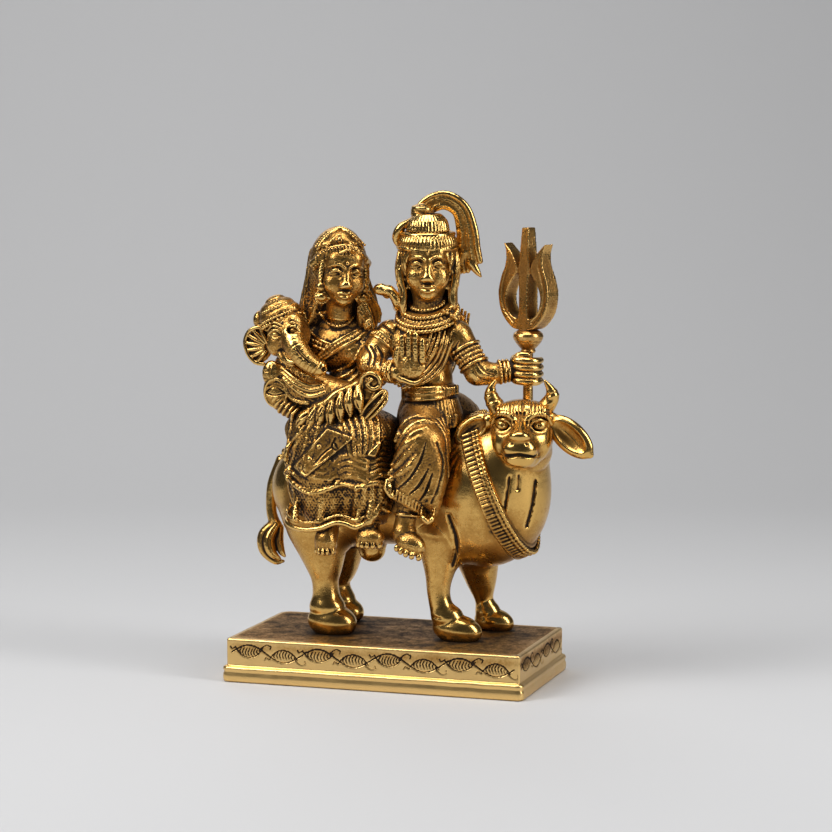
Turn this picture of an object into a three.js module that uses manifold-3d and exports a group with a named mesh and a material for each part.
// Brass group statue: a bull on a moulded plinth carries two seated riders, a child with an elephant's
// head on the lap of one of them, and a trident that lifts out of the other one's fist.
// Millimetres, +Z up, the front faces -Y. Each casting is its own mesh, with GAP left between neighbours.
import * as THREE from "three";
import { mergeVertices } from "three/addons/utils/BufferGeometryUtils.js";
import Module from "manifold-3d";

const wasm = await Module();
wasm.setup();

// ---- driving dimensions ----
const PLINTH = { length: 100, width: 54, height: 14, inset: 1.4, rim: 5, wall: 3, corner: 1.6, worn: 7 };
const GAP = 0.35; // clearance between neighbouring castings
const SIDES = 13; // facets around a rounded form
const FLATNESS = 0.2; // facets flatter than this are merged
const BULL_MIDDLE = 3; // Y of the bull's middle plane
const TRIDENT = { x: 43, y: 2.5, foot: 80, shaft: 1.6, knob: 105.5, head: 113, thick: 5.6 };
const SCREW = { radius: 1.5, head: 3, headHeight: 2.2, reach: 6 };
const WASHER = { radius: 3.6, thick: 0.7 };
const FASTENER_SIDES = 16;

const FINISH = {
  plinth: { color: 0xb8924a, roughness: 0.3, metalness: 1 },
  bull: { color: 0xc79a45, roughness: 0.22, metalness: 1 },
  figure: { color: 0xb98a3c, roughness: 0.32, metalness: 1 },
  trident: { color: 0x9a6f2f, roughness: 0.42, metalness: 1 },
  fastener: { color: 0x8f9296, roughness: 0.4, metalness: 1 },
};

// ---- solids from three.js geometry ----
function solidOf(geometry) {
  const bare = geometry.index ? geometry.toNonIndexed() : geometry.clone();
  bare.deleteAttribute("normal");
  bare.deleteAttribute("uv");
  const merged = mergeVertices(bare, 1e-4);
  const corners = merged.index.array;
  const kept = [];
  for (let i = 0; i < corners.length; i += 3) {
    const [a, b, c] = corners.slice(i, i + 3);
    if (a !== b && b !== c && c !== a) kept.push(a, b, c);
  }
  const vertProperties = merged.attributes.position.array;
  return new wasm.Manifold(new wasm.Mesh({ numProp: 3, vertProperties, triVerts: new Uint32Array(kept) }));
}

function geometryOf(solid) {
  const mesh = solid.getMesh();
  const geometry = new THREE.BufferGeometry();
  geometry.setAttribute("position", new THREE.BufferAttribute(mesh.vertProperties, 3));
  geometry.setIndex(new THREE.BufferAttribute(mesh.triVerts, 1));
  geometry.computeVertexNormals();
  return geometry;
}

const joined = (solids) => solids.reduce((whole, solid) => whole.add(solid));
const largestOf = (solid) => solid.decompose().reduce((a, b) => (a.volume() > b.volume() ? a : b));
const degrees = THREE.MathUtils.degToRad;

// An ellipsoid, turned about X, then Y, then Z, in degrees.
function ball(at, radii, turn = [0, 0, 0], sides = SIDES) {
  return (grow) => {
    const geometry = new THREE.SphereGeometry(1, sides, Math.round(sides * 0.6));
    geometry.rotateX(Math.PI / 2);
    geometry.scale(radii[0] + grow, radii[1] + grow, radii[2] + grow);
    geometry.rotateX(degrees(turn[0]));
    geometry.rotateY(degrees(turn[1]));
    geometry.rotateZ(degrees(turn[2]));
    geometry.translate(...at);
    return solidOf(geometry);
  };
}

// A tapered round limb between two points, with a ball at each end.
function limb(from, to, fromRadius, toRadius, sides = 9) {
  return (grow) => {
    const start = new THREE.Vector3(...from);
    const along = new THREE.Vector3(...to).sub(start);
    const length = along.length();
    const [a, b] = [fromRadius + grow, toRadius + grow];
    const steps = 2;
    const profile = [];
    for (let i = 0; i <= steps; i++) {
      const angle = (i / steps) * (Math.PI / 2);
      profile.push(new THREE.Vector2(i ? a * Math.sin(angle) : 0, -a * Math.cos(angle)));
    }
    for (let i = steps; i >= 0; i--) {
      const angle = (i / steps) * (Math.PI / 2);
      profile.push(new THREE.Vector2(i ? b * Math.sin(angle) : 0, length + b * Math.cos(angle)));
    }
    const geometry = new THREE.LatheGeometry(profile, sides);
    const up = new THREE.Vector3(0, 1, 0);
    geometry.applyQuaternion(new THREE.Quaternion().setFromUnitVectors(up, along.normalize()));
    geometry.translate(...from);
    return solidOf(geometry);
  };
}

// Limbs through several points, each point given as [x, y, z, radius].
function chain(points, sides) {
  const links = points.slice(1).map((p, i) => {
    const q = points[i];
    return limb(q.slice(0, 3), p.slice(0, 3), q[3], p[3], sides);
  });
  return (grow) => joined(links.map((link) => link(grow)));
}

function box(low, high) {
  return (grow) => {
    const size = high.map((h, i) => h - low[i] + 2 * grow);
    const geometry = new THREE.BoxGeometry(...size);
    geometry.translate(...high.map((h, i) => (h + low[i]) / 2));
    return solidOf(geometry);
  };
}

// A solid of revolution about an upright axis, from an outline of [radius, height] that closes on the axis.
function turned(x, y, outline, sides = FASTENER_SIDES) {
  return (grow) => {
    const middle = (outline[0][1] + outline[outline.length - 1][1]) / 2;
    const profile = outline.map(([r, z]) => {
      return new THREE.Vector2(r && r + grow, z + Math.sign(z - middle) * grow);
    });
    const geometry = new THREE.LatheGeometry(profile, sides);
    geometry.rotateX(Math.PI / 2);
    geometry.translate(x, y, 0);
    return solidOf(geometry);
  };
}

const rod = (x, y, radius, bottom, top, sides) =>
  turned(x, y, [[0, bottom], [radius, bottom], [radius, top], [0, top]], sides);

// A rectangle with rounded corners: the far left one is worn rounder than the others.
function plinthOutline(length, width, corner, worn) {
  const [x, y] = [length / 2, width / 2];
  const shape = new THREE.Shape();
  shape.absarc(-x + corner, -y + corner, corner, Math.PI, 1.5 * Math.PI);
  shape.absarc(x - corner, -y + corner, corner, 1.5 * Math.PI, 2 * Math.PI);
  shape.absarc(x - corner, y - corner, corner, 0, 0.5 * Math.PI);
  shape.absarc(-x + worn, y - worn, worn, 0.5 * Math.PI, Math.PI);
  return shape;
}

function slab(shape, bottom, top) {
  const depth = top - bottom;
  const geometry = new THREE.ExtrudeGeometry(shape, { depth, bevelEnabled: false, curveSegments: 4 });
  geometry.translate(0, 0, bottom);
  return solidOf(geometry);
}

// ---- the group, piece by piece ----
// Each piece is trimmed by the pieces before it, grown by GAP, so that neighbours never touch.
const group = new THREE.Group();
const made = [];

function piece(name, finish, shapes, { cuts = [], flatness = FLATNESS } = {}) {
  const whole = (grow) => joined([shapes].flat().map((shape) => shape(grow)));
  let solid = whole(0);
  for (const grown of made) {
    if (meets(solid, grown)) solid = solid.subtract(grown);
  }
  for (const cut of cuts) solid = solid.subtract(cut(0));
  made.push(cuts.reduce((grown, cut) => grown.subtract(cut(-GAP / 2)), whole(GAP)));
  addMesh(name, finish, largestOf(solid).asOriginal().simplify(flatness));
}

function addMesh(name, finish, solid) {
  const mesh = new THREE.Mesh(geometryOf(solid), new THREE.MeshStandardMaterial(FINISH[finish]));
  mesh.name = name;
  group.add(mesh);
}

function meets(a, b) {
  const [p, q] = [a.boundingBox(), b.boundingBox()];
  return [0, 1, 2].every((i) => p.min[i] < q.max[i] && q.min[i] < p.max[i]);
}

// Hooves: the bull's four feet on the plinth, and where the screws come up into them.
const HOOVES = {
  front_near: { x: 20.5, y: -6 },
  front_far: { x: 27, y: 14.5 },
  rear_near: { x: -20.5, y: -6.5 },
  rear_far: { x: -24.5, y: 14.5 },
};
const hoofPlaces = Object.values(HOOVES);

// plinth: a hollow casting, open underneath, with a wider rim at its foot
const plate = PLINTH.height;
const cavityTop = PLINTH.height - PLINTH.wall;
const screwBores = hoofPlaces.map(({ x, y }) => rod(x, y, SCREW.radius + GAP, cavityTop - 1, plate + 12));
function plinth(grow) {
  const { length, width, height, inset, rim, corner, worn } = PLINTH;
  const block = plinthOutline(length - 2 * inset + 2 * grow, width - 2 * inset + 2 * grow, corner, worn);
  const foot = plinthOutline(length + 2 * grow, width + 2 * grow, corner, worn);
  const step = plinthOutline(length - inset + 2 * grow, width - inset + 2 * grow, corner, worn);
  return joined([slab(block, 0, height + grow), slab(foot, 0, rim - 0.9), slab(step, 0, rim)]);
}
const inside = [PLINTH.length / 2 - 2 * PLINTH.wall, PLINTH.width / 2 - 2 * PLINTH.wall];
const cavity = box([-inside[0], -inside[1], -1], [inside[0], inside[1], cavityTop]);
piece("base_plinth", "plinth", plinth, { cuts: [cavity, ...screwBores], flatness: 0.01 });

// bull: barrel, chest and neck in one casting, with legs, head, ears, horns and tail brazed on
const socket = rod(TRIDENT.x, TRIDENT.y, TRIDENT.shaft + GAP, TRIDENT.foot - GAP, TRIDENT.knob);
const middle = BULL_MIDDLE;
const rump = ball([-21, middle, 60], [21.7, 17, 18]);
const barrel = ball([2, middle, 60], [30, 16, 17.5]);
const chest = ball([29.5, 1.5, 61], [21, 17.5, 24]);
const neck = limb([35, 0, 68], [42, -3, 78], 13, 9.5, SIDES);
const hump = ball([18, middle, 76], [12, 9, 8]);
const bullShapes = [rump, barrel, chest, neck, hump];
piece("bull_body", "bull", bullShapes, { cuts: [socket] });

const LEGS = {
  front_near: {
    bones: [[16.5, -5, 44, 7.5], [16.2, -6, 31, 4.6], [17.6, -6.2, 23, 3.9]],
    hoof: ball([22.3, -6, 18.2], [8, 4.6, 4.6], [0, 4, 0]),
  },
  front_far: {
    bones: [[23.5, 11, 44, 7.5], [24.5, 14, 30, 4.8], [25, 14.5, 23, 3.2]],
    hoof: ball([28.3, 14.5, 18], [6.6, 4.2, 4.2], [0, 4, 0]),
  },
  rear_near: {
    bones: [[-24, -5, 46, 9.5], [-21.8, -6, 31, 5.6], [-21.6, -6.3, 25, 5]],
    hoof: ball([-20, -6.5, 19.4], [8, 5.6, 6.2], [0, 4, 0]),
  },
  rear_far: {
    bones: [[-22, 11, 46, 9], [-25, 14, 31, 5], [-25, 14.5, 24, 4.4]],
    hoof: ball([-23.6, 14.5, 18.8], [7.2, 5, 5.2], [0, 4, 0]),
  },
};
for (const [place, { bones, hoof }] of Object.entries(LEGS)) {
  piece(`bull_leg_${place}`, "bull", [chain(bones, 10), hoof], { cuts: screwBores });
}

piece("bull_head", "bull", [
  ball([44.3, -10.5, 84], [9.6, 8.6, 8.2]),
  limb([44.5, -11, 80], [46, -18.5, 77], 8.2, 6.2, SIDES),
], { cuts: [socket] });
const rightHorn = [[36.8, -9, 89.5, 2.4], [34.4, -9.5, 93, 1.9], [35.7, -10.5, 97, 0.7]];
const leftHorn = [[51.2, -9, 89.5, 2.4], [53.7, -9.5, 93.2, 1.9], [52, -10.5, 97.4, 0.7]];
piece("bull_right_horn", "bull", chain(rightHorn, 8));
piece("bull_left_horn", "bull", chain(leftHorn, 8));
piece("bull_right_ear", "bull", ball([28.6, -9.5, 82], [6.8, 1.8, 3.6], [0, -37, 8]));
piece("bull_left_ear", "bull", ball([60.2, -10, 80.8], [8.6, 1.8, 4], [0, 39, -6]));
piece("bull_tail", "bull", chain([
  [-40.5, 3, 66, 1.8],
  [-43.4, 2.4, 56, 1.8],
  [-42.6, 1, 48.5, 2],
  [-43.2, 0, 42, 2.9],
  [-41.8, 0, 37.6, 2.9],
  [-38.9, 0, 36.4, 2.2],
], 8));

// collar: a band that hugs the chest and neck, between two parallel slanted planes
function hugging(shapes, thickness, region) {
  return (grow) => joined(shapes.map((shape) => shape(GAP + thickness + grow))).intersect(region(grow));
}
function slantedBlock(at, size, turn) {
  return (grow) => {
    const geometry = new THREE.BoxGeometry(...size.map((s) => s + 2 * grow));
    geometry.rotateY(degrees(turn));
    geometry.translate(...at);
    return solidOf(geometry);
  };
}
const collarBlock = slantedBlock([35.5, 0, 60], [5, 60, 80], -24);
piece("bull_collar", "bull", hugging([chest, neck], 1.1, collarBlock));

// saddle cloth: lies over the back and hangs down the far flank
const clothBlock = box([-37, -9, 57], [22, 30, 100]);
piece("saddle_cloth", "figure", hugging([rump, barrel, hump], 1.4, clothBlock));

// first rider, nearer the bull's head: straddles the back, one leg down each flank
piece("shiva_dhoti", "figure", [
  ball([13, -3, 87], [10.5, 8.5, 8.5]),
  chain([[12, -5, 87, 9], [14.6, -15, 79.5, 8], [12.8, -17, 63, 8.4]], 10),
]);
piece("shiva_far_leg", "figure", chain([[15, 4, 86, 8], [20, 18, 78, 5.4], [17, 22, 60, 5]], 10));
piece("shiva_torso", "figure", [
  ball([12.3, -4, 97], [7.9, 6.2, 8.5]),
  ball([10.8, -3.6, 107.5], [12, 7.3, 8.5]),
  limb([11, -4, 112], [11.6, -5, 120], 4.8, 4.4),
]);
piece("shiva_head", "figure", ball([12, -5.8, 130.6], [7.4, 8.2, 9.6], [0, 0, 18]));
const facing = ball([14.5, -14, 129.5], [7.6, 8, 11.5], [0, 0, 18]);
piece("shiva_hair", "figure", [
  ball([10.7, -2, 132], [10.2, 8.6, 13.2]),
  ball([10.2, -3.4, 144.5], [6.4, 5.6, 4]),
], { cuts: [facing] });
piece("shiva_topknot_plume", "figure", chain([
  [8.8, -3, 149, 2.7],
  [12, -2.4, 152.4, 2],
  [16.7, -1.6, 153.4, 1.9],
  [21.2, -0.6, 150.2, 2.1],
  [23.3, 0, 142.5, 2.6],
  [24.1, 0.6, 135, 3.1],
  [26.9, 1.2, 130, 0.9],
], 8));
const crescent = [[0.9, -6.5, 140.2, 1.1], [2.2, -7, 143.8, 1.3], [4.9, -6.8, 146.8, 0.8]];
piece("shiva_crescent", "figure", chain(crescent, 8));
piece("shiva_cobra", "figure", chain([
  [-1.8, -8.4, 125, 2],
  [1.8, -9.4, 124.2, 1.6],
  [2.4, -9.6, 119.6, 1.4],
  [6, -10.6, 116, 1.4],
  [12, -11.6, 114.4, 1.4],
  [17.6, -9.8, 116.4, 1.4],
], 8));
piece("shiva_right_arm", "figure", [
  chain([[-0.6, -5.2, 111.2, 4.6], [-4.2, -10.5, 102.2, 4.1], [6.2, -16.5, 100, 2.7]], 9),
  ball([10.6, -17.8, 106.5], [3.9, 1.9, 7.4], [0, 6, 0]),
]);
piece("shiva_left_arm", "figure", [
  chain([[21.6, -3.2, 111, 4.3], [28.4, -3.6, 98.6, 4.1], [38.4, 0, 100.6, 2.6]], 9),
  ball([42.6, 1.8, 100], [4.6, 4.6, 4.7]),
], { cuts: [rod(TRIDENT.x, TRIDENT.y, TRIDENT.shaft + GAP, TRIDENT.foot, TRIDENT.head)] });
const shivaRightFoot = [[9.2, -20, 55, 2.9], [8.6, -20, 49, 3], [15, -23.4, 44.4, 2.4]];
const shivaLeftFoot = [[16, 22.5, 57, 2.9], [15.6, 22.6, 50, 2.8], [21, 24, 45.6, 2.2]];
piece("shiva_right_foot", "figure", chain(shivaRightFoot, 9));
piece("shiva_left_foot", "figure", chain(shivaLeftFoot, 9));

// second rider: sits sideways behind the first, both feet on the near flank
piece("parvati_skirt", "figure", [
  ball([-14.5, -8, 80], [19.5, 14, 8.5]),
  ball([-14, -15, 66], [19, 9, 16]),
  ball([-14, -17.5, 56], [19.4, 7, 6.4]),
]);
piece("parvati_torso", "figure", [
  ball([-13, -4.5, 94], [8.2, 6.4, 9.5]),
  ball([-17.4, -4, 106], [11.5, 7.2, 8.5]),
  limb([-17, -4.5, 112], [-16.6, -6, 120], 4.2, 3.8),
]);
piece("parvati_head", "figure", ball([-16.4, -7, 128.8], [7.2, 8, 9.4], [0, 4, 34]));
const veilOpening = ball([-12.2, -15, 127], [8, 8.6, 11], [0, 4, 34]);
piece("parvati_veil", "figure", [
  ball([-18.6, -3.2, 131.5], [9.7, 9.2, 13]),
  ball([-18.6, -1.5, 117.5], [12.6, 6.6, 12]),
], { cuts: [veilOpening] });
piece("parvati_crown", "figure", [
  ball([-16.8, -8.6, 138.6], [7.4, 4.6, 4.4], [0, 4, 24]),
  ball([-17.2, -8.2, 142], [4, 3.6, 3.4]),
]);
const parvatiRightArm = [[-28.6, -4.4, 109.5, 4], [-32, -8.5, 93, 3.9], [-20, -15, 88, 3]];
const parvatiLeftArm = [[-6, -4.6, 108.5, 4], [-2.8, -8.6, 97, 3.5], [-6, -16, 94.4, 2.7]];
piece("parvati_right_arm", "figure", chain(parvatiRightArm, 9));
piece("parvati_left_arm", "figure", chain(parvatiLeftArm, 9));
piece("parvati_right_foot", "figure", [ball([-15.6, -22, 45.8], [3.7, 3, 4.4])]);
piece("parvati_left_foot", "figure", [ball([-1, -21.6, 48.4], [6.4, 3, 3.4], [0, 8, 0])]);

// child on the second rider's lap, with an elephant's head
piece("ganesha_body", "figure", [
  ball([-27.6, -12.6, 96.5], [9, 6.4, 8.8]),
  ball([-20, -15.4, 90.4], [9, 6, 5.4]),
  ball([-12, -17.6, 90.6], [10.5, 4.6, 5.4]),
]);
piece("ganesha_head", "figure", ball([-31.2, -14.8, 110.6], [7, 7, 7.6]));
piece("ganesha_crown", "figure", ball([-35.4, -13, 117.2], [7.8, 6.4, 5], [0, -38, 0]));
piece("ganesha_right_ear", "figure", ball([-42, -13.4, 105], [4.6, 1.6, 6.2], [0, 14, 0]));
const trunk = [[-27.6, -20, 110.4, 3.2], [-24.2, -21.4, 106.6, 2.9], [-19.6, -21, 103.6, 2.7]];
piece("ganesha_trunk", "figure", chain(trunk, 9));
piece("ganesha_right_hand", "figure", [
  ball([-33.6, -18.6, 98], [3.8, 2, 4.6]),
  ball([-32.6, -18.8, 90.6], [4.6, 2.6, 5]),
]);
piece("ganesha_left_hand", "figure", [ball([-1.4, -19, 97], [3.8, 2.8, 4])]);
const ganeshaFeet = [[4, -18.6, 94.2, 2.2], [0.6, -19.4, 90.8, 2.2], [-2.8, -20, 88.4, 1.4]];
piece("ganesha_feet", "figure", chain(ganeshaFeet, 8));

// trident: a round shaft through the fist, a knob, and a flat three-pronged head that turns about the shaft
function tridentHead(grow) {
  const shape = new THREE.Shape();
  shape.moveTo(0, -grow);
  shape.bezierCurveTo(6, 0.4, 9.4 + grow, 6, 9.4 + grow, 12);
  shape.bezierCurveTo(9.4 + grow, 17, 6.4, 20, 7.2 + grow, 26 + grow);
  shape.bezierCurveTo(3, 24, 2.6, 21, 2.6, 19);
  shape.lineTo(1.3 + grow, 32 + grow);
  shape.lineTo(-1.3 - grow, 32 + grow);
  shape.lineTo(-2.6, 19);
  shape.bezierCurveTo(-2.6, 21, -3, 24, -7.2 - grow, 26 + grow);
  shape.bezierCurveTo(-6.4, 20, -9.4 - grow, 17, -9.4 - grow, 12);
  shape.bezierCurveTo(-9.4 - grow, 6, -6, 0.4, 0, -grow);
  const depth = TRIDENT.thick + 2 * grow;
  const geometry = new THREE.ExtrudeGeometry(shape, { depth, bevelEnabled: false, curveSegments: 6 });
  geometry.translate(0, 0, -depth / 2);
  geometry.rotateX(Math.PI / 2);
  geometry.translate(TRIDENT.x, TRIDENT.y, TRIDENT.head);
  return solidOf(geometry);
}
function slot(side) {
  const shape = new THREE.Shape();
  shape.moveTo(side * 3, 3.6);
  shape.bezierCurveTo(side * 6.4, 5, side * 7, 9, side * 6.6, 13);
  shape.bezierCurveTo(side * 6, 17, side * 4, 19, side * 2.9, 23.6);
  shape.lineTo(side * 2.2, 23.6);
  shape.lineTo(side * 2.6, 4.4);
  shape.closePath();
  const depth = TRIDENT.thick + 4;
  const geometry = new THREE.ExtrudeGeometry(shape, { depth, bevelEnabled: false, curveSegments: 4 });
  geometry.translate(0, 0, -depth / 2);
  geometry.rotateX(Math.PI / 2);
  geometry.translate(TRIDENT.x, TRIDENT.y, TRIDENT.head);
  return solidOf(geometry);
}
const shaftTop = TRIDENT.head + 2;
piece("trident_shaft", "trident", rod(TRIDENT.x, TRIDENT.y, TRIDENT.shaft, TRIDENT.foot, shaftTop));
const { knob, head } = TRIDENT;
piece("trident_knob", "trident", turned(TRIDENT.x, TRIDENT.y, [
  [0, knob],
  [2, knob],
  [2.9, knob + 1.4],
  [4.7, knob + 4],
  [4.8, knob + 5.6],
  [3.6, knob + 6.8],
  [2.4, head - GAP],
  [0, head - GAP],
]));
piece("trident_head", "trident", tridentHead, { cuts: [() => slot(1), () => slot(-1)] });

// fasteners: a screw up through the plate into each hoof, with a washer under its head
for (const [place, { x, y }] of Object.entries(HOOVES)) {
  const washerTop = cavityTop - GAP;
  const washerFoot = washerTop - WASHER.thick;
  const headTop = washerFoot - GAP;
  const headFoot = headTop - SCREW.headHeight;
  const bore = rod(x, y, SCREW.radius + GAP, 0, plate);
  const washer = rod(x, y, WASHER.radius, washerFoot, washerTop)(0).subtract(bore(0));
  const screw = turned(x, y, [
    [0, headFoot], [SCREW.head - 0.6, headFoot], [SCREW.head, headFoot + 0.8], [SCREW.head, headTop],
    [SCREW.radius, headTop], [SCREW.radius, plate + SCREW.reach], [0, plate + SCREW.reach],
  ])(0);
  addMesh(`hoof_screw_${place}`, "fastener", screw);
  addMesh(`hoof_washer_${place}`, "fastener", washer);
}

// origin at the middle of the whole object's underside
const bounds = new THREE.Box3().setFromObject(group);
const centre = bounds.getCenter(new THREE.Vector3());
group.position.set(-centre.x, -centre.y, -bounds.min.z);

export default group;
